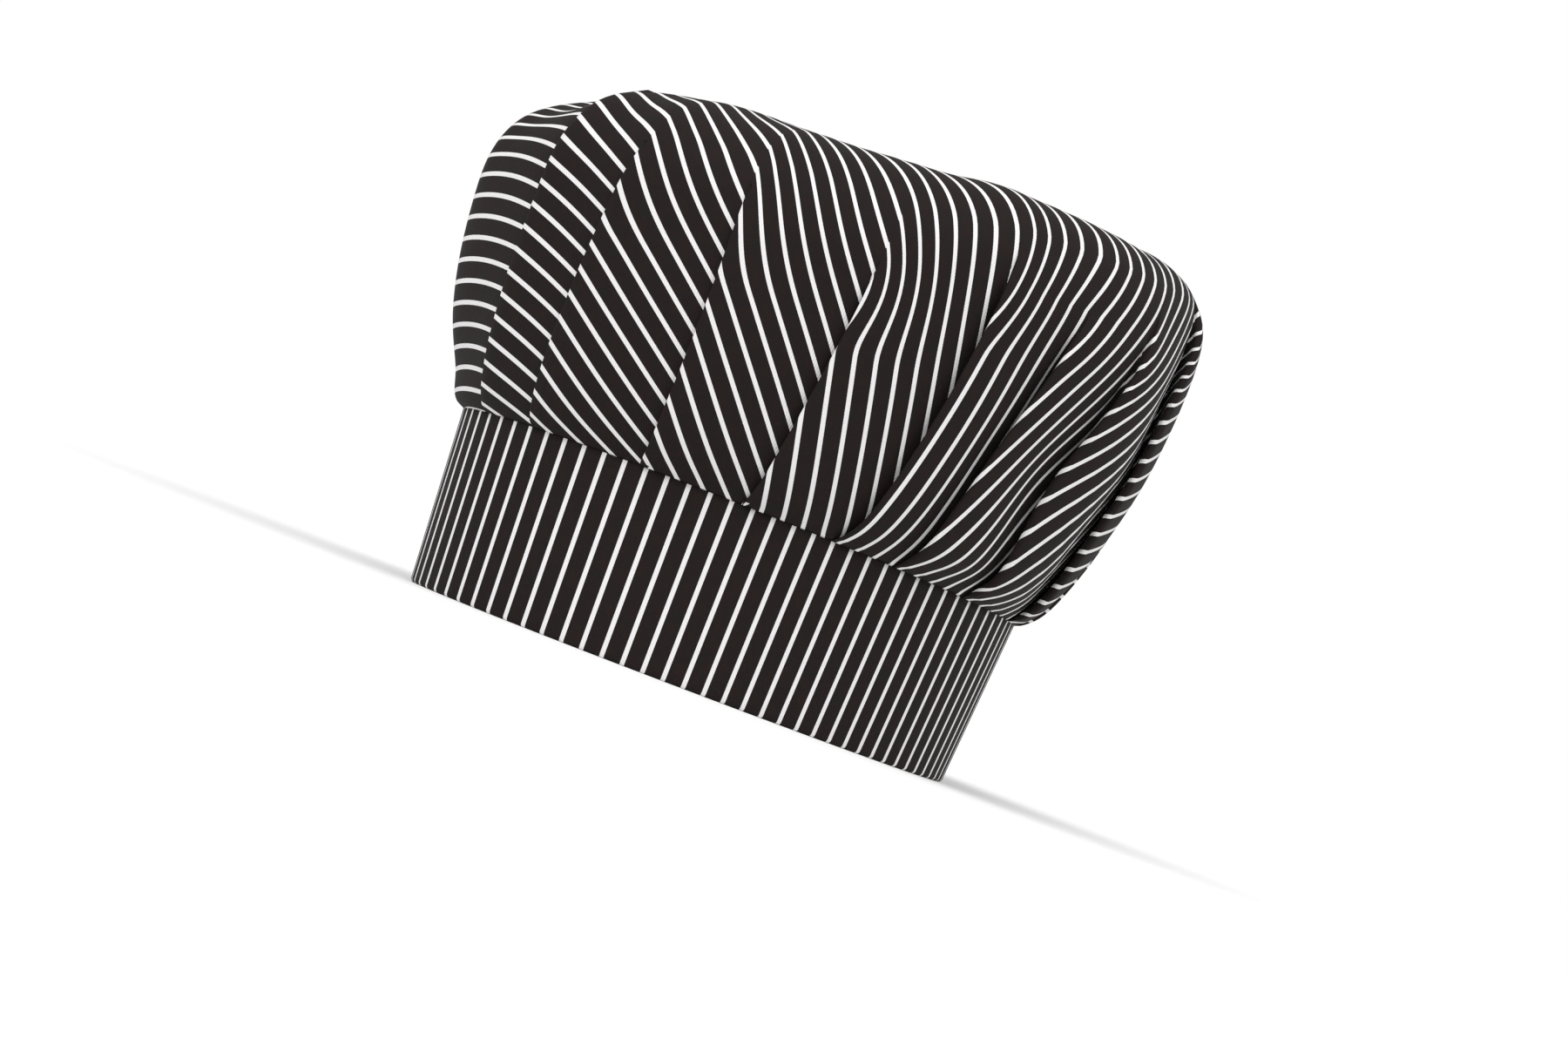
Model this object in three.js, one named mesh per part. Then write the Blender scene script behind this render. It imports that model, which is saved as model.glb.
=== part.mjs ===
// A cook's hat: one flat round of cloth, knife pleated all round into a straight folded head band.
// Millimetres, +Z up, standing on the band's lower edge. The wearer faces -Y, and +X is their left.
import * as THREE from 'three';

// Head band: a strip folded double along its lower edge
const rimHalfWidth = 81; // outside, across the ears
const rimHalfLength = 103; // outside, front to back
const bandHeight = 60;
const bandFlare = 4.5; // how far the band opens out between its lower edge and the seam
const bandWall = 2.4; // two layers of cloth
const foldRadius = 0.6; // rounding of the folded lower edge

// Crown
const crownWall = 1.5;
const seamGap = 0.3; // clearance between the crown's gathered edge and the band
const crownHeight = 136; // from the seam to the middle of the top
const crownReach = 24; // how far the crown bags out past the seam at the sides
const backSwing = 6; // how much further it bags out behind than at the sides
const topShift = -9; // the top leans this far towards the back, so a minus is forwards
const topSlope = 20; // the shoulder stands this much higher behind than at the sides

// Pleats
const pleatLift = 5; // height of the deepest fold's edge over the cloth that it laps
const pleatDrop = 2.8; // breadth of the step down from a fold's edge
const pleatPuff = 2.2; // how far the middle of a panel swells

// Steps of the meshes
const bandSides = 120;
const panelColumns = 5; // columns of points on a panel, between one fold's edge and the next
const crownRows = 18;

const blackStriped = new THREE.MeshStandardMaterial({ color: 0x302b2a, roughness: 0.9, metalness: 0 });

// The crown's upright outline, from the seam over the shoulder to the middle of the top.
// across: share of the seam's half width and half length; out: share of the reach;
// up: share of the crown's height.
const outline = [
  { across: 1.0, out: 0.0, up: 0.0 },
  { across: 1.0, out: 0.32, up: 0.065 },
  { across: 1.0, out: 0.58, up: 0.175 },
  { across: 1.0, out: 0.77, up: 0.305 },
  { across: 1.0, out: 0.92, up: 0.45 },
  { across: 1.0, out: 1.0, up: 0.61 },
  { across: 0.99, out: 1.0, up: 0.76 },
  { across: 0.91, out: 0.9, up: 0.885 },
  { across: 0.73, out: 0.7, up: 0.955 },
  { across: 0.48, out: 0.45, up: 0.985 },
  { across: 0.24, out: 0.22, up: 0.998 },
  { across: 0.0, out: 0.0, up: 1.0 },
];

// One row for each pleat, round the head from the front by the wearer's left ear.
// foot, waist, head: degrees round the oval of the fold's edge at the seam, at foldWaist and at
// foldHead of the way up; end: share of the way up where the fold has opened out;
// lift and puff: shares of pleatLift and pleatPuff.
const foldWaist = 0.4;
const foldHead = 0.6;
const pleats = [
  { foot: 0, waist: 9, head: 11, end: 0.62, lift: 0.5, puff: 0.4 },
  { foot: 17, waist: 25, head: 28, end: 0.62, lift: 0.45, puff: 0.4 },
  { foot: 42, waist: 46, head: 46, end: 0.58, lift: 0.6, puff: 0.6 },
  { foot: 61, waist: 66, head: 68, end: 0.6, lift: 0.7, puff: 0.6 },
  { foot: 79, waist: 84, head: 85, end: 0.62, lift: 0.9, puff: 0.8 },
  { foot: 95, waist: 97, head: 101, end: 0.6, lift: 1.0, puff: 0.8 },
  { foot: 113, waist: 112, head: 119, end: 0.62, lift: 1.0, puff: 1.0 },
  { foot: 136, waist: 130, head: 133, end: 0.66, lift: 1.0, puff: 1.0 },
  { foot: 151, waist: 142, head: 145, end: 0.6, lift: 0.9, puff: 0.9 },
  { foot: 168, waist: 163, head: 165, end: 0.64, lift: 0.9, puff: 1.0 },
  { foot: 187, waist: 184, head: 187, end: 0.6, lift: 0.8, puff: 0.8 },
  { foot: 205, waist: 204, head: 206, end: 0.64, lift: 0.9, puff: 0.9 },
  { foot: 223, waist: 224, head: 227, end: 0.62, lift: 0.8, puff: 0.8 },
  { foot: 243, waist: 244, head: 247, end: 0.6, lift: 0.9, puff: 0.7 },
  { foot: 262, waist: 264, head: 267, end: 0.64, lift: 0.8, puff: 0.8 },
  { foot: 281, waist: 284, head: 287, end: 0.6, lift: 0.7, puff: 0.6 },
  { foot: 300, waist: 305, head: 308, end: 0.62, lift: 0.7, puff: 0.6 },
  { foot: 320, waist: 326, head: 329, end: 0.6, lift: 0.6, puff: 0.5 },
  { foot: 340, waist: 348, head: 351, end: 0.62, lift: 0.5, puff: 0.4 },
];
const foldProud = 0.6; // share of a fold's lift that stands out past the crown's smooth outline
const seamShare = 0.4; // share of a pleat's lift that is left where it is sewn flat at the seam
const liftFull = 0.14; // share of the way up where a pleat stands out fully
const fadeStart = 0.6; // share of a fold's height where it starts to open out
const puffEnd = 0.92; // share of the way up where the panels' swelling has died out

const seamHalfWidth = rimHalfWidth + bandFlare;
const seamHalfLength = rimHalfLength + bandFlare;

// Joins rings of points into one closed body. Each ring has the same number of points, anticlockwise
// seen from above, and the rings run up the outside and back down the inside. A lone point is a pole.
function solidFromRings(rings) {
  const points = [];
  const starts = [];
  for (const ring of rings) {
    starts.push(points.length);
    points.push(...ring);
  }
  const faces = [];
  rings.forEach((ring, index) => {
    const next = (index + 1) % rings.length;
    const count = Math.max(ring.length, rings[next].length);
    if (ring.length === 1 && rings[next].length === 1) return;
    for (let side = 0; side < count; side += 1) {
      const after = (side + 1) % count;
      const a = starts[index] + (ring.length === 1 ? 0 : side);
      const b = starts[index] + (ring.length === 1 ? 0 : after);
      const c = starts[next] + (rings[next].length === 1 ? 0 : after);
      const d = starts[next] + (rings[next].length === 1 ? 0 : side);
      if (a !== b) faces.push(a, b, c);
      if (c !== d) faces.push(a, c, d);
    }
  });
  const geometry = new THREE.BufferGeometry();
  geometry.setAttribute('position', new THREE.Float32BufferAttribute(points.flat(), 3));
  geometry.setIndex(faces);
  geometry.computeVertexNormals();
  return geometry;
}

// A point on the oval with these half axes, moved inwards along the oval's own normal.
function ovalPoint(angle, halfWidth, halfLength, inset, height) {
  const sine = Math.sin(angle);
  const cosine = Math.cos(angle);
  const length = Math.hypot(halfLength * sine, halfWidth * cosine);
  return [
    halfWidth * sine - (inset * halfLength * sine) / length,
    -halfLength * cosine + (inset * halfWidth * cosine) / length,
    height,
  ];
}

// The band is a ring: its cross section runs round the folded lower edge's outer arc, up the outside, over
// the top, down the inside and round the inner arc.
function bandGeometry() {
  const outerArc = [0, 45, 90].map((degrees) => {
    const turn = THREE.MathUtils.degToRad(degrees);
    return { inset: foldRadius * (1 - Math.sin(turn)), height: foldRadius * (1 - Math.cos(turn)) };
  });
  const innerArc = outerArc.map(({ inset, height }) => ({ inset: bandWall - inset, height })).reverse();
  const section = [
    ...outerArc,
    { inset: 0, height: bandHeight },
    { inset: bandWall, height: bandHeight },
    ...innerArc,
  ];
  const rings = section.map(({ inset, height }) => {
    const flare = (bandFlare * height) / bandHeight;
    const ring = [];
    for (let side = 0; side < bandSides; side += 1) {
      const angle = (2 * Math.PI * side) / bandSides;
      ring.push(ovalPoint(angle, rimHalfWidth + flare, rimHalfLength + flare, inset, height));
    }
    return ring;
  });
  return solidFromRings(rings);
}

// Smooth curve through the outline's rows, read at a share of the way from the seam to the top.
const outlineCurve = new THREE.CatmullRomCurve3(
  outline.map(({ across, out, up }) => new THREE.Vector3(across, out, up)),
  false,
  'centripetal',
);

// The crown's smooth outer surface, before its pleats: it bags out over the band, further behind than in
// front, and its shoulder slopes down towards the front.
function smoothCrown(angle, way) {
  const { x: across, y: out, z: up } = outlineCurve.getPoint(way);
  const reach = out * (crownReach - backSwing * Math.cos(angle));
  const shoulder = up * across ** 2;
  return new THREE.Vector3(
    (across * seamHalfWidth + reach) * Math.sin(angle),
    -(across * seamHalfLength + reach) * Math.cos(angle) + topShift * up,
    bandHeight + seamGap + crownHeight * up - topSlope * shoulder * Math.cos(angle),
  );
}

// Outward normal of the smooth surface, from two short steps along it. It is level at the seam, so that the
// sewn edge stays in one plane.
function crownNormal(angle, way) {
  const step = 0.002;
  const low = Math.max(way - step, 0);
  const high = Math.min(way + step, 1 - step);
  const up = smoothCrown(angle, high).sub(smoothCrown(angle, low));
  const round = smoothCrown(angle + step, low).sub(smoothCrown(angle - step, low));
  const normal = round.cross(up).normalize();
  normal.z *= THREE.MathUtils.smoothstep(way, 0, liftFull);
  return normal.normalize();
}

// Degrees round the oval of a fold's edge, on a parabola through its foot, waist and head, and
// straight up from there.
function foldAngle({ foot, waist, head }, way) {
  const along = Math.min(way, foldHead);
  const byFoot = ((along - foldWaist) * (along - foldHead)) / (foldWaist * foldHead);
  const byWaist = (along * (along - foldHead)) / (foldWaist * (foldWaist - foldHead));
  const byHead = (along * (along - foldWaist)) / (foldHead * (foldHead - foldWaist));
  return foot * byFoot + waist * byWaist + head * byHead;
}

// How far a pleat is open at this share of the way up: flat at the seam, full above it, and gone at its end.
function pleatOpening(end, way) {
  const rise = THREE.MathUtils.smoothstep(way, 0, liftFull);
  const fall = 1 - THREE.MathUtils.smoothstep(way, fadeStart * end, end);
  return (seamShare + (1 - seamShare) * rise) * fall;
}

// One ring of the crown. Each panel has its raised fold edge at its start, falls away and swells a little
// towards its end, and there steps up to the next panel's edge.
function crownRing(way, inset) {
  const ring = [];
  pleats.forEach((pleat, index) => {
    const last = index === pleats.length - 1;
    const next = pleats[(index + 1) % pleats.length];
    const start = foldAngle(pleat, way);
    const stop = foldAngle(next, way) + (last ? 360 : 0);
    const middleRadius = (seamHalfWidth + seamHalfLength) / 2 + crownReach;
    const dropShare = pleatDrop / (middleRadius * THREE.MathUtils.degToRad(stop - start));
    for (let column = 0; column < panelColumns; column += 1) {
      const share = (column / (panelColumns - 1)) * (1 - dropShare);
      const angle = THREE.MathUtils.degToRad(start + (stop - start) * share);
      const fold = pleat.lift * pleatLift * (foldProud - share) * pleatOpening(pleat.end, way);
      const swell = pleat.puff * pleatPuff * Math.sin(Math.PI * share) * pleatOpening(puffEnd, way);
      const point = smoothCrown(angle, way);
      point.addScaledVector(crownNormal(angle, way), fold + swell - inset);
      ring.push(point.toArray());
    }
  });
  return ring;
}

// The crown is a hood of even thickness, open over the band.
function crownGeometry() {
  const ways = [];
  for (let row = 0; row < crownRows; row += 1) ways.push(row / crownRows);
  const outside = ways.map((way) => crownRing(way, 0));
  const inside = ways.map((way) => crownRing(way, crownWall)).reverse();
  const top = smoothCrown(0, 1);
  return solidFromRings([
    ...outside,
    [top.toArray()],
    [[top.x, top.y, top.z - crownWall]],
    ...inside,
  ]);
}

function piece(name, geometry) {
  const mesh = new THREE.Mesh(geometry, blackStriped);
  mesh.name = name;
  return mesh;
}

const hat = new THREE.Group();
hat.add(piece('band', bandGeometry()));
hat.add(piece('crown', crownGeometry()));

export default hat;
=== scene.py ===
# Cook's hat of black cloth with narrow white stripes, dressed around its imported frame.
# Lengths are metres. The hat stands on its band and faces -Y, and +X is its left side.
import math
import bpy
import numpy as np
from mathutils import Matrix, Quaternion, Vector


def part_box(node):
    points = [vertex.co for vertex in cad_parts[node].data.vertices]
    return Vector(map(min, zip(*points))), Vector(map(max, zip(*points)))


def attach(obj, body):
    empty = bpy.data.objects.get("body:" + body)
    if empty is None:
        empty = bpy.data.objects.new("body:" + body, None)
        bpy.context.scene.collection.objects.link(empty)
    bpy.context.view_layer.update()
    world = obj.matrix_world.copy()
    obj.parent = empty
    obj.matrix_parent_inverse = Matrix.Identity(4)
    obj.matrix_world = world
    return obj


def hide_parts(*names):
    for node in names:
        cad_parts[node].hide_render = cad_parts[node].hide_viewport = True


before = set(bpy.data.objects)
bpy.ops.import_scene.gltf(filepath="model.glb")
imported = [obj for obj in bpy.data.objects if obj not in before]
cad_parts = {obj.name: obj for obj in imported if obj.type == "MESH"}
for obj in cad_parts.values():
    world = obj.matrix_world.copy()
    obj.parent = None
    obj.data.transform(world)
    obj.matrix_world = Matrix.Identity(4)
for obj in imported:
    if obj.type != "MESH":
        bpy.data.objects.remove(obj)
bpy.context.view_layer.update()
bandLow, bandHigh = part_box("band")
print("frame loaded:", sorted(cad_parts))


# Camera
camera = {
    "azimuth": 58.0,      # degrees from the hat's front round to its left side
    "height": 0.016,      # of the lens over the floor
    "distance": 0.9,      # of the lens from the middle of the rim
    "lens": 59.8,         # mm
    "sensor": 36.0,       # mm
    "roll": 21.1,         # degrees that the hat leans to the right in the picture
    "lookAt": (0.0, 0.0, 0.1),
    "pixel": (902.0, 475.0),       # where that point lies in the picture
    "picture": (1800, 1200),
    "near": 0.01,
    "far": 60.0,
}


def makeCamera(look):
    # The camera looks at the point, turns so that the point lies at its pixel, and rolls about its own axis.
    around = math.radians(look["azimuth"])
    flat = math.sqrt(look["distance"] ** 2 - look["height"] ** 2)
    place = Vector((flat * math.sin(around), -flat * math.cos(around), look["height"]))
    lens = bpy.data.cameras.new("camera")
    lens.lens = look["lens"]
    lens.sensor_width = look["sensor"]
    lens.clip_start = look["near"]
    lens.clip_end = look["far"]
    eye = bpy.data.objects.new("camera", lens)
    bpy.context.scene.collection.objects.link(eye)
    wide, tall = look["picture"]
    focal = lens.lens / lens.sensor_width * wide
    toPoint = Vector((look["pixel"][0] - wide / 2, tall / 2 - look["pixel"][1], -focal)).normalized()
    aim = (Vector(look["lookAt"]) - place).to_track_quat("-Z", "Y")
    roll = Quaternion((0, 0, 1), math.radians(look["roll"]))
    shift = Vector((0, 0, -1)).rotation_difference(toPoint)
    eye.matrix_world = Matrix.Translation(place) @ (aim @ roll @ shift.inverted()).to_matrix().to_4x4()
    bpy.context.scene.camera = eye


makeCamera(camera)
print("camera set")


# Shapes as numpy grids
tiny = 1e-9               # keeps a division by a length from being one by nothing


def smoothThrough(rows, way):
    # Natural cubic spline through evenly spaced rows, read at shares of the way from the first to the last.
    values = np.array(rows, float)
    inner = len(values) - 2
    system = 4 * np.eye(inner) + np.eye(inner, k=1) + np.eye(inner, k=-1)
    bend = np.zeros_like(values)
    bend[1:-1] = np.linalg.solve(system, 6 * (values[2:] - 2 * values[1:-1] + values[:-2]))
    place = np.clip(way, 0, 1) * (inner + 1)
    left = np.minimum(place.astype(int), inner)
    after = (place - left)[..., None]
    before = 1 - after
    curve = before * values[left] + after * values[left + 1]
    return curve + ((before ** 3 - before) * bend[left] + (after ** 3 - after) * bend[left + 1]) / 6


def smoothStep(value, low, high):
    # Rises from 0 at low to 1 at high: three times the square of the share less twice its cube.
    share = np.clip((value - low) / (high - low), 0, 1)
    return share * share * (3 - 2 * share)


def bell(distance, breadth):
    # Smooth hump: e to the minus square of the distance in breadths.
    return np.exp(-(distance / breadth) ** 2)


def degreesFrom(angle, turn):
    # Shortest way round from a turn in degrees to an angle in radians, in degrees.
    return np.mod(np.degrees(angle) - turn + 180, 360) - 180


def gridPiece(name, points, flat, closed, pole=None, poleFlat=None):
    # One surface from rows of points, with a face between each four neighbours. Each point also has its place
    # on the flat cloth, kept in metres as the UV map: across the stripes, then along them. A closed piece
    # joins its last column to its first, and a pole closes its last row in one point.
    rows, columns = points.shape[:2]
    index = np.arange(rows * columns).reshape(rows, columns)
    after = np.roll(index, -1, axis=1) if closed else index[:, 1:]
    here = index if closed else index[:, :-1]
    quads = np.stack([here[:-1], after[:-1], after[1:], here[1:]], -1).reshape(-1, 4).tolist()
    vertices = points.reshape(-1, 3)
    onCloth = flat.reshape(-1, 2)
    if pole is not None:
        top = rows * columns
        vertices = np.vstack([vertices, pole])
        onCloth = np.vstack([onCloth, poleFlat])
        quads += [(a, b, top) for a, b in zip(here[-1].tolist(), after[-1].tolist())]
    mesh = bpy.data.meshes.new(name)
    mesh.from_pydata(vertices.tolist(), [], quads)
    corners = np.zeros(len(mesh.loops), np.int32)
    mesh.loops.foreach_get("vertex_index", corners)
    layer = mesh.uv_layers.new(name="cloth")
    layer.data.foreach_set("uv", onCloth[corners].astype(np.float32).ravel())
    mesh.polygons.foreach_set("use_smooth", np.ones(len(mesh.polygons), bool))
    mesh.update()
    piece = bpy.data.objects.new(name, mesh)
    bpy.context.scene.collection.objects.link(piece)
    return piece


def thicken(piece, thickness):
    # The cloth's back lies this far behind its face, point by point along the normals.
    wall = piece.modifiers.new("cloth thickness", "SOLIDIFY")
    wall.thickness = thickness
    wall.offset = -1
    wall.use_even_offset = False
    return piece


# Crown
crown = {
    "clothRadius": 0.245,     # of the flat round that it is cut from
    "clothThick": 0.0005,
    "height": 0.132,          # from the seam to the middle of the top
    "reach": 0.024,           # how far it bags out past the seam at the sides
    "backSwing": 0.006,       # how much further behind than at the sides
    "topShift": -0.009,       # the top leans this far backwards, so a minus is forwards
    "topSlope": 0.020,        # the shoulder stands this much higher behind than at the sides
    "middleShift": 0.020,     # the round's own middle lies this far behind the top's middle
    "layerGap": 0.0009,       # between the layers of a fold
    "seamInset": 0.0006,      # its gathered edge stands this far inside the band's face
    "insetWay": 0.02,         # up to this share of the way up
    "seamTuck": 0.0025,       # the edge reaches this far down between the band's layers
    "seamTurn": 0.0001,       # below the band's top is where it turns outwards
    "seamShare": 0.6,         # share of a pleat's lift that is left at the seam
    "seamSqueeze": 0.12,      # share of a fold's depth that is left where it is sewn in
    "seamLayers": 0.0008,     # that its hidden layers lie behind its panels there
    "seamWay": 0.025,         # share of the way up over which the seam lets go of them
    "hideParts": 6,           # a hidden layer is fully behind after one of so many parts of its breadth
    "liftFull": 0.13,         # share of the way up where a pleat stands out fully
    "liftDepth": 0.0025,      # depth of a fold that gives it two thirds of its lift and dip
    "liftRolls": 2.6,         # a fold's lift is at least this many times the radius of its edge
    "liftInwards": 0.4,       # share of the lift by which the panels lie inside the smooth crown
    "openFrom": 0.7,          # share of a pleat's length where its fold begins to open out
    "swellFull": 0.2,         # shares of the way up where a panel's swelling is full,
    "swellFade": 0.6,         # where it and the ridges begin to fade,
    "swellGone": 0.95,        # and where they are gone
    "swellPower": 1.2,        # of the sine across a panel: a higher one swells more in the middle
    "ridgeFrom": 0.5,         # share of a pleat's length where the ridge over its end begins
    "ridgeBroad": 0.009,      # half breadth of the ridge that goes on above a pleat's end
    "underShare": 0.85,       # a fold reaches at most this share of the next panel's breadth under it
    "underDip": 0.0024,       # and goes this far inwards there
    "flatFrom": 0.92,         # share of the way up from where the cloth lies as flat as when it was cut
    "topTurn": -4.0,          # degrees that it is turned there
    "rows": 96,
    "panelColumns": 22,
    "measureRows": 241,       # of the grid on which lengths along the surface are measured
    "measureColumns": 145,
}

# upright outline from the seam to the middle of the top: across is a share of the seam's half axes,
# out of the reach, up of the height
outline = [
    # across, out, up
    (1.00, 0.00, 0.000),
    (1.00, 0.32, 0.065),
    (1.00, 0.58, 0.175),
    (1.00, 0.77, 0.305),
    (1.00, 0.92, 0.450),
    (1.00, 1.00, 0.610),
    (1.00, 1.00, 0.770),
    (0.93, 0.92, 0.900),
    (0.74, 0.71, 0.962),
    (0.48, 0.45, 0.985),
    (0.24, 0.22, 0.998),
    (0.00, 0.00, 1.000),
]

# one row for each pleat, from the front round by the left side: degrees round the oval at the seam, waist
# and head; degrees on the flat cloth; share of the way up where it has opened out; lift, roll of its edge,
# swelling of its panel, and ridge above its end, in mm
foldWaist = 0.4           # shares of the way up
foldHead = 0.6
pleatColumns = ("foot", "waist", "head", "cloth", "end", "lift", "roll", "puff", "ridge")
pleats = [
    # foot, waist, head, cloth, end, lift, roll, puff, ridge
    (0, 11, 14.5, 17, 0.74, 2.2, 0.5, -0.3, 1.0),
    (17, 26.5, 31, 32, 0.60, 2.2, 0.5, 0.4, 1.0),
    (42.4, 48, 49, 50, 0.58, 2.4, 0.5, 1.2, 1.2),
    (62, 68, 71, 70, 0.52, 3.0, 0.5, 1.2, 1.6),
    (79.5, 86, 88.5, 91, 0.60, 4.6, 0.8, 1.8, 2.4),
    (93, 99, 106, 106, 0.60, 5.4, 1.2, 1.8, 1.8),
    (112, 113.5, 121, 124, 0.58, 6.0, 1.6, 2.2, 1.8),
    (136, 132, 142, 160, 0.62, 5.0, 1.4, 1.6, 1.6),
    (157, 155, 160, 178, 0.62, 4.6, 1.4, 2.0, 1.6),
    (175, 173, 176, 192, 0.66, 4.5, 1.2, 2.2, 1.6),
    (192, 190, 193, 206, 0.62, 4.0, 1.0, 1.8, 1.6),
    (208, 208, 211, 219, 0.68, 4.0, 1.0, 2.0, 1.6),
    (225, 226, 229, 234, 0.60, 3.6, 0.9, 1.8, 1.4),
    (243, 244, 247, 251, 0.60, 4.0, 1.0, 1.6, 1.4),
    (262, 264, 267, 271, 0.66, 3.6, 0.8, 1.8, 1.4),
    (281, 284, 287, 291, 0.62, 3.2, 0.7, 1.4, 1.2),
    (300, 305, 308, 312, 0.66, 3.0, 0.6, 1.4, 1.2),
    (320, 326, 329, 334, 0.62, 3.2, 0.6, -0.4, 1.0),
    (340, 346, 348, 355, 0.70, 3.6, 0.5, -1.9, 2.0),
]

# soft dents and swellings, where the cloth has sunk or is pushed out: degrees round the oval, share of the
# way up, half its breadth in degrees, half its height as such a share, mm outwards
dents = [
    # angle, way, broad, tall, out
    (326, 0.45, 22, 0.30, -3.5),
    (140, 0.45, 26, 0.25, -0.3),
    (347, 0.62, 20, 0.12, -5.0),
    (24, 0.70, 14, 0.10, 1.4),
    (23, 0.60, 5, 0.06, -1.4),
    (335, 0.12, 20, 0.10, -3.0),
    (146, 0.14, 14, 0.12, -2.0),
    (108, 0.29, 9, 0.11, -3.2),
    (112, 0.48, 11, 0.09, 2.6),
    (104, 0.10, 9, 0.07, 1.6),
    (128, 0.36, 8, 0.10, 1.6),
    (88, 0.62, 9, 0.10, 1.8),
    (196, 0.62, 12, 0.12, -3.0),
    (214, 0.40, 9, 0.14, 2.2),
    (236, 0.66, 15, 0.10, 2.4),
    (254, 0.50, 10, 0.16, -2.6),
    (276, 0.68, 14, 0.11, -3.2),
    (297, 0.42, 11, 0.15, 2.0),
    (312, 0.66, 12, 0.10, 1.8),
    (60, 0.80, 30, 0.06, -1.6),
    (215, 0.82, 35, 0.06, -2.2),
    (300, 0.84, 30, 0.06, 1.6),
]

# stretches of the shoulder that have sunk: degrees round the oval, half the breadth in degrees, mm down
sunken = [
    # angle, broad, down
    (66, 34, 6.0),
    (122, 20, 2.5),
    (350, 22, 2.2),
]


def smoothCrown(angle, way):
    # The crown before its pleats: the outline carried round the seam's oval, bagging out further behind than
    # in front, with its shoulder sloping down towards the front and sunk in bells.
    across, out, up = np.moveaxis(smoothThrough(outline, way), -1, 0)
    reach = out * (crown["reach"] - crown["backSwing"] * np.cos(angle))
    shoulder = up * across ** 2
    sunk = np.zeros_like(up)
    for turn, broad, down in sunken:
        sunk = sunk + down / 1000 * bell(degreesFrom(angle, turn), broad)
    behind = crown["topShift"] * up + crown["middleShift"] * np.clip(1 - across ** 2, 0, 1) ** 2
    return np.stack([
        (across * bandHigh.x + reach) * np.sin(angle),
        -(across * bandHigh.y + reach) * np.cos(angle) + behind,
        bandHigh.z + crown["height"] * up - (crown["topSlope"] * np.cos(angle) + sunk) * shoulder,
    ], -1)


def crownNormal(angle, way):
    # Outward normal from short steps along the smooth surface, level where the edge is sewn in.
    step = 0.004
    low, high = np.maximum(way - step, 0), np.minimum(way + step, 1 - step / 2)
    up = smoothCrown(angle, high) - smoothCrown(angle, low)
    safe = np.minimum(way, 1 - 2 * step)
    around = smoothCrown(angle + step, safe) - smoothCrown(angle - step, safe)
    normal = np.cross(around, up)
    normal /= np.linalg.norm(normal, axis=-1, keepdims=True)
    normal[..., 2] *= smoothStep(way, 0, crown["liftFull"])
    return normal / np.linalg.norm(normal, axis=-1, keepdims=True)


def crownRelief(angle, way):
    # Sum of the dents, each a smooth bell round the oval and up it, in metres outwards.
    relief = np.zeros_like(way)
    for turn, level, broad, tall, out in dents:
        relief = relief + out / 1000 * bell(degreesFrom(angle, turn), broad) * bell(way - level, tall)
    return relief * smoothStep(way, 0, crown["liftFull"])


def clothRadiusAt(angle, way):
    # How far a point of the crown lies from the middle of the flat round: its way down from the top as a
    # share of the whole way, measured along the surface on a grid and read between its points.
    steps = np.linspace(0, 1, crown["measureRows"])
    around = np.linspace(0, 2 * np.pi, crown["measureColumns"])
    surface = smoothCrown(around[:, None], steps[None, :])
    pieces = np.linalg.norm(np.diff(surface, axis=1), axis=-1)
    run = np.concatenate([np.zeros((len(around), 1)), np.cumsum(pieces, axis=1)], axis=1)
    share = 1 - run / run[:, -1:]
    column = np.mod(angle, 2 * np.pi) / (2 * np.pi) * (len(around) - 1)
    row = np.clip(way, 0, 1) * (len(steps) - 1)
    left = np.minimum(column.astype(int), len(around) - 2)
    under = np.minimum(row.astype(int), len(steps) - 2)
    toRight, toTop = column - left, row - under
    below = share[left, under] * (1 - toRight) + share[left + 1, under] * toRight
    above = share[left, under + 1] * (1 - toRight) + share[left + 1, under + 1] * toRight
    return crown["clothRadius"] * (below * (1 - toTop) + above * toTop)


def foldAngle(pleat, way):
    # Where a fold's edge runs round the oval, in degrees: a parabola through its foot, waist and head. Over
    # the top it goes smoothly to its place on the flat cloth, so that nothing is gathered there.
    along = np.minimum(way, foldHead)
    byFoot = (along - foldWaist) * (along - foldHead) / (foldWaist * foldHead)
    byWaist = along * (along - foldHead) / (foldWaist * (foldWaist - foldHead))
    byHead = along * (along - foldWaist) / (foldHead * (foldHead - foldWaist))
    edge = pleat["foot"] * byFoot + pleat["waist"] * byWaist + pleat["head"] * byHead
    overTop = smoothStep(way, foldHead, crown["flatFrom"])
    return edge * (1 - overTop) + (pleat["cloth"] + crown["topTurn"]) * overTop


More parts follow.
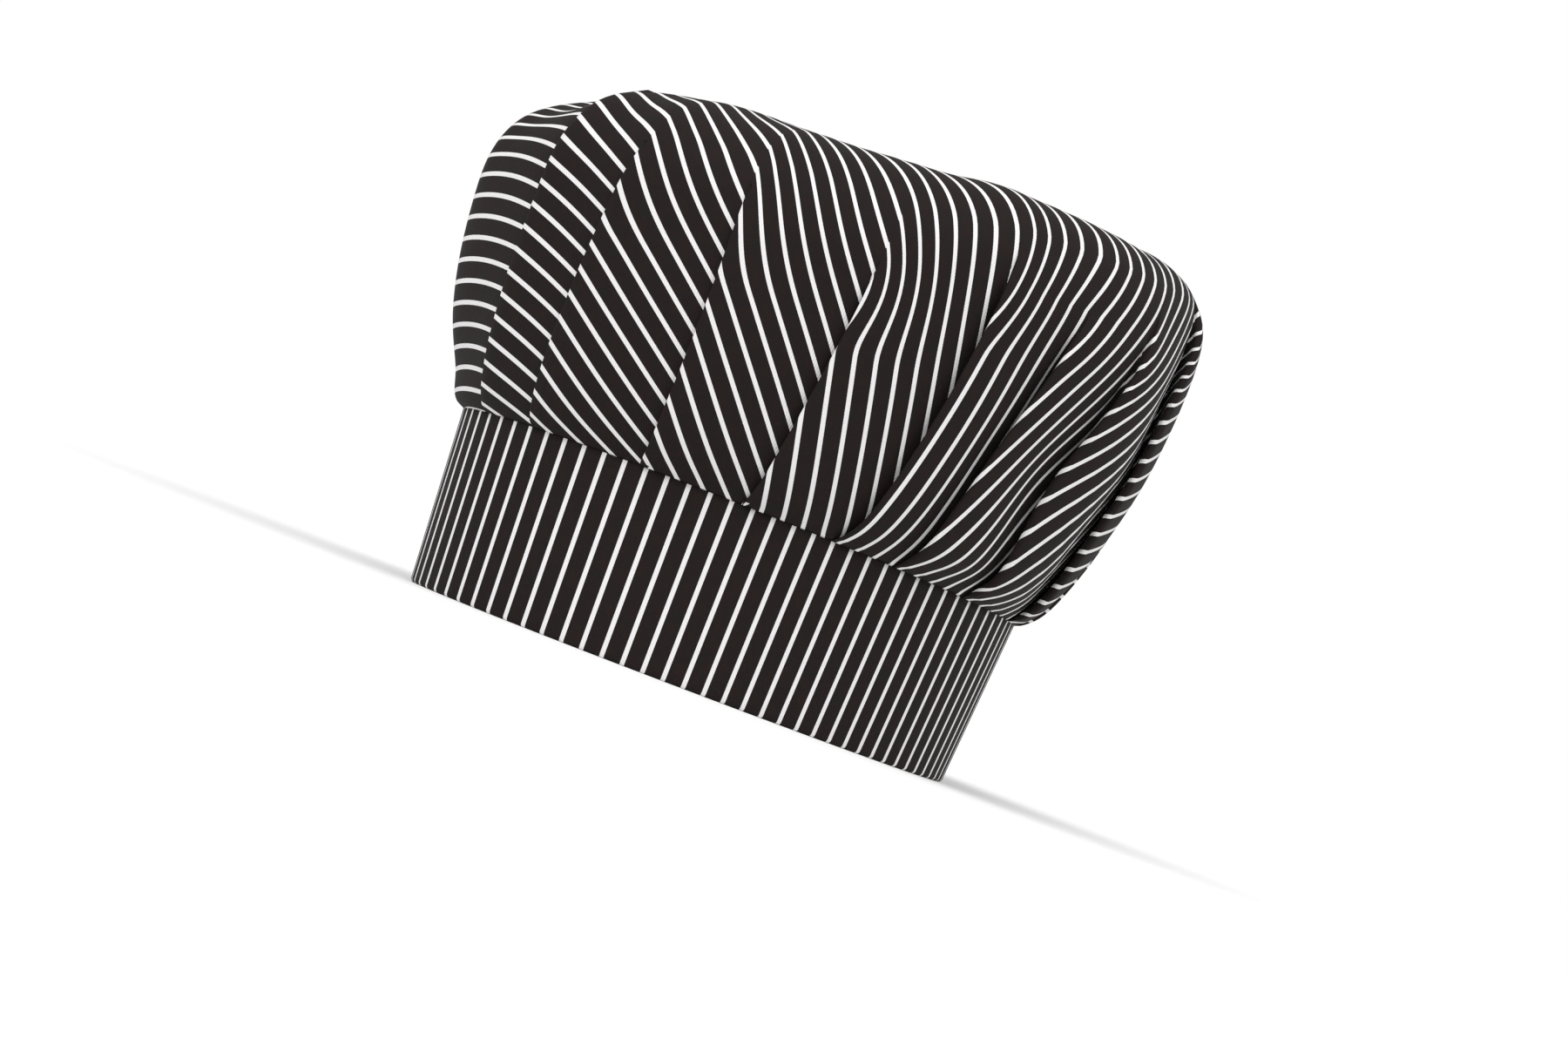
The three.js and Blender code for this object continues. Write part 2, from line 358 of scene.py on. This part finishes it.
def pleatSizes(pleat, following, way):
    # At each height, from one fold's edge to the next: the room there is round the crown, the cloth that
    # lies there, and the depth of the fold, which is half of what the cloth has over. Where a fold opens out,
    # what it held drifts on into the pleat after it. Lift and dip grow as 1 less e to the minus depth.
    start, stop = np.radians(foldAngle(pleat, way)), np.radians(foldAngle(following, way))
    middle = (start + stop) / 2
    step = 0.01
    spread = np.linalg.norm(smoothCrown(middle + step, way) - smoothCrown(middle - step, way), axis=-1)
    room = spread / (2 * step) * (stop - start)
    cloth = (np.radians(following["cloth"]) - np.radians(pleat["cloth"])) * clothRadiusAt(middle, way)
    opening = 1 - smoothStep(way, crown["openFrom"] * following["end"], following["end"])
    natural = np.maximum((cloth - room) / 2, 0)
    depth = natural * opening
    nextDrift = 2 * (natural - depth)
    drift = np.roll(nextDrift, 1, axis=1)
    closing = np.roll(depth, 1, axis=1)
    rise = crown["seamShare"] + (1 - crown["seamShare"]) * smoothStep(way, 0, crown["liftFull"])
    lift = pleat["lift"] / 1000 * rise * (1 - np.exp(-closing / crown["liftDepth"]))
    sizes = {
        "start": start,
        "stop": stop,
        "middle": middle,
        "room": room,
        "cloth": cloth + drift - nextDrift,
        "depth": depth,
        "drift": drift,
        "under": np.minimum(depth, crown["underShare"] * np.roll(room, -1, axis=1)),
        "dip": crown["underDip"] * opening * (1 - np.exp(-depth / crown["liftDepth"])),
        "lift": lift,
        "roll": np.minimum(pleat["roll"] / 1000, lift / crown["liftRolls"]),
    }
    return {name: size[:, :, None] for name, size in sizes.items()}


def threadShares(pleat, seamCloth):
    # Where a pleat's columns of points run, as shares of its cloth: three over its rolled edge, then evenly
    # over what is flat, and one more on the next fold's edge.
    turnShare = np.pi / 2 * pleat["roll"] / 1000 / seamCloth
    nextTurn = np.roll(turnShare, -1)
    inner = np.linspace(0, 1, crown["panelColumns"])
    return np.concatenate([
        np.zeros((len(pleats), 1)),
        turnShare[:, None] / 2,
        turnShare[:, None] + (1 - turnShare - nextTurn)[:, None] * inner,
        1 - nextTurn[:, None] / 2,
    ], axis=1)


def pleatSection(run, size):
    # The section of each pleat at each height: across is how far a thread lies from the fold's edge, height
    # how far over the smooth crown. The cloth comes over the rolled edge in a quarter turn, sinks across its
    # panel, goes on under the next one, comes back, and rolls over that one's edge in another quarter turn.
    room, under, dip, lift, roll = (size[name] for name in ("room", "under", "dip", "lift", "roll"))
    nextLift, nextRoll = np.roll(lift, -1, axis=1), np.roll(roll, -1, axis=1)
    turn, lastTurn = (np.maximum(np.pi / 2 * radius, tiny) for radius in (roll, nextRoll))
    shown = size["cloth"] - 2 * size["depth"]
    bottom = size["cloth"] - size["depth"]
    back = size["cloth"] - lastTurn

    firstAngle = np.clip(run / turn, 0, 1) * np.pi / 2
    lastAngle = np.clip((run - back) / lastTurn, 0, 1) * np.pi / 2 - np.pi / 2
    panel = np.clip((run - turn) / (shown - turn), 0, 1)
    hidden = np.clip((run - shown) / np.maximum(size["depth"], tiny), 0, 1)
    returning = np.clip((run - bottom) / np.maximum(back - bottom, tiny), 0, 1)
    onTurn = run < turn
    onPanel = (run >= turn) & (run <= shown)
    onLast = run > back
    onReturn = (run > bottom) & ~onLast

    across = np.where(onPanel, roll + (room - roll) * panel, room + under * hidden)
    across = np.where(onTurn, roll * (1 - np.cos(firstAngle)), across)
    across = np.where(onReturn, room + under + (nextRoll - under) * returning, across)
    across = np.where(onLast, room + nextRoll * (1 - np.cos(lastAngle)), across)

    gap = crown["layerGap"]
    sinking = ((1 - panel) + (1 + np.cos(np.pi * panel)) / 2) / 2      # half straight, half a cosine's fall
    height = np.where(onPanel, lift * sinking, -dip * hidden)
    height = np.where(onTurn, lift - roll * (1 - np.sin(firstAngle)), height)
    height = np.where(onReturn, gap - dip + (nextLift - 2 * nextRoll - gap + dip) * returning, height)
    height = np.where(onLast, nextLift - nextRoll * (1 - np.sin(lastAngle)), height)
    height -= crown["liftInwards"] * (lift + (nextLift - lift) * np.clip(across / room, 0, 1))

    bulge = np.sin(np.pi * panel) ** crown["swellPower"] * onPanel
    behind = np.where(onReturn, 1, np.clip(crown["hideParts"] * hidden, 0, 1))
    behind = np.where(onLast, -np.sin(lastAngle), behind)
    return across, height, panel, bulge, behind


def makeCrown():
    # The round of cloth as a grid: rows from the seam to the top, and for each pleat columns of the same
    # threads all the way up. Each point is the smooth crown's, moved along its normal by the pleat's section,
    # swelling and ridges and by the dents. The first two rows go straight down between the band's layers.
    pleat = dict(zip(pleatColumns, np.array(pleats, float).T))
    following = {name: np.roll(values, -1) for name, values in pleat.items()}
    for name in ("foot", "waist", "head", "cloth"):
        following[name][-1] += 360
    way = np.concatenate([[0], np.arange(crown["rows"]) / crown["rows"]])[:, None, None]
    tuck = np.zeros_like(way)
    tuck[:2, 0, 0] = crown["seamTuck"], crown["seamTurn"]
    size = pleatSizes(pleat, following, way[:, :, 0])
    share = threadShares(pleat, size["cloth"][0, :, 0])
    run = share * size["cloth"]
    across, height, panel, bulge, behind = pleatSection(run, size)
    angle = size["start"] + (size["stop"] - size["start"]) * across / size["room"]

    fading = 1 - smoothStep(way, crown["swellFade"], crown["swellGone"])
    height += pleat["puff"][:, None] / 1000 * smoothStep(way, 0, crown["swellFull"]) * fading * bulge
    end = pleat["end"][:, None]
    ridge = pleat["ridge"][:, None] / 1000 * smoothStep(way, crown["ridgeFrom"] * end, end) * fading
    height += ridge * bell(across, crown["ridgeBroad"])
    height += np.roll(ridge, -1, axis=1) * bell(across - size["room"], crown["ridgeBroad"])

    sewn = 1 - smoothStep(way, 0, crown["seamWay"])
    height -= sewn * ((1 - crown["seamSqueeze"]) * height + crown["seamLayers"] * behind)
    wide = np.broadcast_to(way, run.shape)
    height += crownRelief(angle, wide)
    points = smoothCrown(angle, wide) + height[..., None] * crownNormal(angle, wide)
    outwards = np.stack([np.sin(angle), -np.cos(angle)], -1)
    points[..., :2] -= crown["seamInset"] * (1 - smoothStep(wide, 0, crown["insetWay"]))[..., None] * outwards
    points[..., 2] -= tuck

    onCloth = run - size["drift"] * (1 - panel * (1 - panel))
    clothAngle = np.radians(pleat["cloth"])[:, None] + onCloth / clothRadiusAt(size["middle"], wide)
    radius = clothRadiusAt(angle, wide) + tuck
    flat = np.stack([-radius * np.cos(clothAngle), radius * np.sin(clothAngle)], -1)

    noAngle, wholeWay = np.zeros(1), np.ones(1)
    top = smoothCrown(noAngle, wholeWay)
    top[:, 2] += crownRelief(noAngle, wholeWay)
    return gridPiece("crown_cloth", points.reshape(-1, share.size, 3), flat.reshape(-1, share.size, 2), True,
                     top, np.zeros((1, 2)))


crownCloth = thicken(makeCrown(), crown["clothThick"])
print("crown made:", len(crownCloth.data.vertices), "points")


# Band
band = {
    "flare": 0.0045,          # opens out this much from its lower edge to the seam
    "wall": 0.0024,           # both layers and the gathered edge between them
    "clothThick": 0.0006,
    "lap": 0.012,             # its ends lap behind by this much
    "lapLift": 0.0007,        # the upper end stands out this much,
    "lapFrom": 0.006,         # beginning this far before the joint
    "lapTo": 0.001,           # and fully this far past it
    "stripes": 85,
    "stripeShift": -0.1,      # share of a pitch by which they are moved round
    "columns": 420,
    "rows": 26,
    "foldRows": 9,            # round its lower edge
    "measureSteps": 2881,     # round the oval, on which lengths along it are measured
}


def makeBand(stripePitch):
    # The strip goes round the rim's oval and laps behind. Its section starts at the inner top edge, goes down
    # inside, round the fold at the bottom in half a circle and up outside. Stripes keep their count from rim
    # to seam. Gives the piece, the way round at the seam and the strip's width.
    radius = band["wall"] / 2
    foldTurns = np.linspace(0, np.pi, band["foldRows"])
    tall = bandHigh.z - bandLow.z
    sides = np.linspace(0, 1, band["rows"])
    inset = np.concatenate([np.full(len(sides) - 1, 2 * radius), radius * (1 + np.cos(foldTurns)),
                            np.zeros(len(sides) - 1)])
    rise = np.concatenate([tall - (tall - radius) * sides[:-1], radius * (1 - np.sin(foldTurns)),
                           radius + (tall - radius) * sides[1:]])
    along = np.concatenate([[0], np.cumsum(np.hypot(np.diff(inset), np.diff(rise)))])

    fine = np.linspace(0, 2 * np.pi, band["measureSteps"])
    stretch = np.hypot(bandHigh.x * np.cos(fine), bandHigh.y * np.sin(fine))
    arc = np.concatenate([[0], np.cumsum((stretch[1:] + stretch[:-1]) / 2 * np.diff(fine))])
    whole = arc[-1]
    place = np.linspace(0, whole + band["lap"], band["columns"])
    angle = np.interp(np.mod(place, whole), arc, fine) + np.pi
    lapped = band["lapLift"] * smoothStep(place, whole - band["lapFrom"], whole + band["lapTo"])

    flare = band["flare"] * (rise / tall - 1)
    wide = bandHigh.x + flare[:, None]
    long = bandHigh.y + flare[:, None]
    sine, cosine = np.sin(angle)[None], np.cos(angle)[None]
    length = np.hypot(long * sine, wide * cosine)
    depth = inset[:, None] - lapped[None]
    points = np.stack([
        wide * sine - depth * long * sine / length,
        -long * cosine + depth * wide * cosine / length,
        np.broadcast_to(bandLow.z + rise[:, None], length.shape),
    ], -1)
    pitchShare = stripePitch * band["stripes"] / whole
    across = place[None] * pitchShare + band["stripeShift"] * stripePitch
    flat = np.stack(np.broadcast_arrays(across, along[:, None]), -1)
    return gridPiece("band_cloth", points, flat, False), whole, along[-1]


# Striped cloth
cloth = {
    "pitch": 0.0070,          # between stripes
    "stripe": 0.00150,        # breadth of one
    "edge": 0.00010,          # over which a stripe fades into the ground
    "waver": 0.00003,         # that its edges stray, thread by thread
    "phase": 0.0,             # share of a pitch by which the pattern is moved
    "ground": (0.0116, 0.0071, 0.0066),
    "warm": (0.0156, 0.0069, 0.0060),
    "cool": (0.0076, 0.0073, 0.0075),
    "patchShare": 0.45,       # of the ground's colour that the warm and cool patches give
    "patchRange": (0.35, 0.65),    # of their noise, from cool to warm
    "stripeColour": (0.80, 0.785, 0.785),
    "twill": 0.00105,         # between the weave's diagonal lines, along the stripes
    "twillGrooveShade": 0.10,        # painted shade: how much darker the cloth is painted in the grooves between them
    "twillDepth": 0.00007,
    "fuzzDepth": 0.00005,
    "fuzz": (2600.0, 2.0, 0.6),    # noise: scale to the metre, detail, roughness
    "patches": (190.0, 3.0, 0.6),
    "threads": (1500.0, 1.0, 0.5),
    "bump": 0.8,
    "roughness": 0.80,
    "specular": 0.18,
    "sheen": 0.02,
    "sheenRoughness": 0.4,
}

bandCloth, bandLength, bandWidth = makeBand(cloth["pitch"])
thicken(bandCloth, band["clothThick"])
print("band made, strip", round(bandLength, 3), "by", round(bandWidth, 3))


def addNode(tree, kind, values=(), **settings):
    # Adds a node and gives its first output. Each value is a number or colour for an input, or an output to
    # join to it, in the inputs' order.
    made = tree.nodes.new(kind)
    for name, setting in settings.items():
        setattr(made, name, setting)
    for socket, value in zip(made.inputs, values):
        if isinstance(value, bpy.types.NodeSocket):
            tree.links.new(value, socket)
        elif value is not None:
            socket.default_value = value
    return made.outputs[0]


def calculate(tree, operation, *values):
    # One sum on numbers or outputs.
    return addNode(tree, "ShaderNodeMath", values, operation=operation)


def blend(tree, share, first, second, kind="MIX"):
    # The first colour, and as great a share of the second as is given, mixed with it or multiplied by it.
    made = tree.nodes.new("ShaderNodeMix")
    made.data_type = "RGBA"
    made.blend_type = kind
    for name, value in (("Factor_Float", share), ("A_Color", first), ("B_Color", second)):
        socket = next(s for s in made.inputs if s.identifier == name)
        if isinstance(value, bpy.types.NodeSocket):
            tree.links.new(value, socket)
        else:
            socket.default_value = (*value, 1) if isinstance(value, tuple) else value
    return next(s for s in made.outputs if s.identifier == "Result_Color")


def weaveGroup():
    # Colour and relief of the cloth at a place on it, in metres across the stripes and along them. A stripe
    # is where the distance to the nearest stripe's middle is under half its breadth. The twill's lines are a
    # sine of both distances together, so they lie at 45 degrees. The colour is painted darker in the grooves
    # between them, where the relief is low: painted shade.
    tree = bpy.data.node_groups.new("woven stripes", "ShaderNodeTree")
    tree.interface.new_socket("Place", in_out="INPUT", socket_type="NodeSocketVector")
    tree.interface.new_socket("Colour", in_out="OUTPUT", socket_type="NodeSocketColor")
    tree.interface.new_socket("Relief", in_out="OUTPUT", socket_type="NodeSocketFloat")
    place = tree.nodes.new("NodeGroupInput").outputs[0]
    result = tree.nodes.new("NodeGroupOutput")
    split = tree.nodes.new("ShaderNodeSeparateXYZ")
    tree.links.new(place, split.inputs[0])
    across, along = split.outputs[0], split.outputs[1]

    both = calculate(tree, "ADD", across, along)
    diagonal = calculate(tree, "MULTIPLY", both, 2 * math.pi / cloth["twill"])
    twill = calculate(tree, "MULTIPLY_ADD", calculate(tree, "SINE", diagonal), 0.5, 0.5)
    fuzz, patches, threads = (addNode(tree, "ShaderNodeTexNoise", (place, None, *cloth[name]))
                              for name in ("fuzz", "patches", "threads"))

    offThread = calculate(tree, "SUBTRACT", threads, 0.5)
    stray = calculate(tree, "MULTIPLY_ADD", offThread, 2 * cloth["waver"], across)
    turns = calculate(tree, "ADD", calculate(tree, "DIVIDE", stray, cloth["pitch"]), cloth["phase"] + 0.5)
    offMiddle = calculate(tree, "ABSOLUTE", calculate(tree, "SUBTRACT", calculate(tree, "FRACT", turns), 0.5))
    distance = calculate(tree, "MULTIPLY", offMiddle, cloth["pitch"])
    inside = calculate(tree, "SUBTRACT", cloth["stripe"] / 2, distance)
    stripe = addNode(tree, "ShaderNodeMapRange", (inside, -cloth["edge"] / 2, cloth["edge"] / 2),
                     interpolation_type="SMOOTHSTEP")

    tint = addNode(tree, "ShaderNodeMapRange", (patches, *cloth["patchRange"]))
    patched = blend(tree, tint, cloth["cool"], cloth["warm"])
    ground = blend(tree, cloth["patchShare"], cloth["ground"], patched)
    colour = blend(tree, stripe, ground, cloth["stripeColour"])
    # painted shade: the colour is darker where the twill's relief is low, in its grooves, varied by the fuzz
    # noise
    paintedGrooveShade = calculate(tree, "MULTIPLY_ADD", calculate(tree, "MULTIPLY", twill, fuzz), 2 * cloth["twillGrooveShade"],
                     1 - cloth["twillGrooveShade"])
    shade = addNode(tree, "ShaderNodeCombineXYZ", (paintedGrooveShade, paintedGrooveShade, paintedGrooveShade))
    tree.links.new(blend(tree, 1.0, colour, shade, "MULTIPLY"), result.inputs[0])

    relief = calculate(tree, "MULTIPLY", twill, cloth["twillDepth"])
    tree.links.new(calculate(tree, "MULTIPLY_ADD", fuzz, cloth["fuzzDepth"], relief), result.inputs[1])
    return tree


def stripedCloth(name, group):
    # Matt cloth: the weave gives its colour, and its height in metres the bump.
    material = bpy.data.materials.new(name)
    material.use_nodes = True
    tree = material.node_tree
    shader = tree.nodes["Principled BSDF"]
    place = addNode(tree, "ShaderNodeUVMap", uv_map="cloth")
    weave = tree.nodes.new("ShaderNodeGroup")
    weave.node_tree = group
    tree.links.new(place, weave.inputs[0])
    tree.links.new(weave.outputs["Colour"], shader.inputs["Base Color"])
    bump = tree.nodes.new("ShaderNodeBump")
    bump.inputs["Strength"].default_value = cloth["bump"]
    bump.inputs["Distance"].default_value = 1.0
    tree.links.new(weave.outputs["Relief"], bump.inputs["Height"])
    tree.links.new(bump.outputs[0], shader.inputs["Normal"])
    shader.inputs["Roughness"].default_value = cloth["roughness"]
    shader.inputs["Specular IOR Level"].default_value = cloth["specular"]
    shader.inputs["Sheen Weight"].default_value = cloth["sheen"]
    shader.inputs["Sheen Roughness"].default_value = cloth["sheenRoughness"]
    return material


fabric = stripedCloth("striped cloth", weaveGroup())
for piece in (crownCloth, bandCloth):
    piece.data.materials.append(fabric)
print("cloth woven")


# Floor, background and light
studio = {
    "floor": 0.92,
    "floorRoughness": 0.9,
    "floorReach": 20,         # from its middle to its edges
    "sky": 0.50,              # light that the white room throws on the hat
    "background": 1.0,        # how bright the room itself looks
    "softness": 50.0,         # degrees across that each light appears
    "elevation": 50,          # degrees that the lights stand up
}
lights = [
    # name, degrees round from the hat's front to its left side, power
    ("key", 30, 2.00),
    ("fill", 115, 0.95),
]


def makeStudio():
    # A wide square floor, and a white room that looks brighter than the light that it gives.
    far = studio["floorReach"]
    mesh = bpy.data.meshes.new("floor")
    mesh.from_pydata([(-far, -far, 0), (far, -far, 0), (far, far, 0), (-far, far, 0)], [], [(0, 1, 2, 3)])
    floor = bpy.data.objects.new("floor", mesh)
    bpy.context.scene.collection.objects.link(floor)
    paint = bpy.data.materials.new("floor paint")
    paint.use_nodes = True
    shader = paint.node_tree.nodes["Principled BSDF"]
    shader.inputs["Base Color"].default_value = (studio["floor"],) * 3 + (1,)
    shader.inputs["Roughness"].default_value = studio["floorRoughness"]
    mesh.materials.append(paint)

    world = bpy.data.worlds.new("white room")
    bpy.context.scene.world = world
    world.use_nodes = True
    tree = world.node_tree
    back = tree.nodes["Background"]
    back.inputs["Color"].default_value = (1, 1, 1, 1)
    seen = tree.nodes.new("ShaderNodeLightPath")
    level = tree.nodes.new("ShaderNodeMapRange")
    level.inputs["To Min"].default_value = studio["sky"]
    level.inputs["To Max"].default_value = studio["background"]
    tree.links.new(seen.outputs["Is Camera Ray"], level.inputs["Value"])
    tree.links.new(level.outputs[0], back.inputs["Strength"])


def addLight(name, azimuth, power):
    # A broad, far light, so that it falls on the whole floor alike.
    lamp = bpy.data.lights.new(name, "SUN")
    lamp.angle = math.radians(studio["softness"])
    lamp.energy = power
    holder = bpy.data.objects.new(name, lamp)
    around, up = math.radians(azimuth), math.radians(studio["elevation"])
    place = Vector((math.cos(up) * math.sin(around), -math.cos(up) * math.cos(around), math.sin(up)))
    holder.rotation_euler = place.to_track_quat("Z", "Y").to_euler()
    bpy.context.scene.collection.objects.link(holder)


makeStudio()
for light in lights:
    addLight(*light)
bpy.context.scene.view_settings.view_transform = "Standard"
print("studio set")


# How the pieces belong to the frame
for piece, node in ((crownCloth, "crown"), (bandCloth, "band")):
    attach(piece, "root")
    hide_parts(node)
print("pieces joined to the frame")
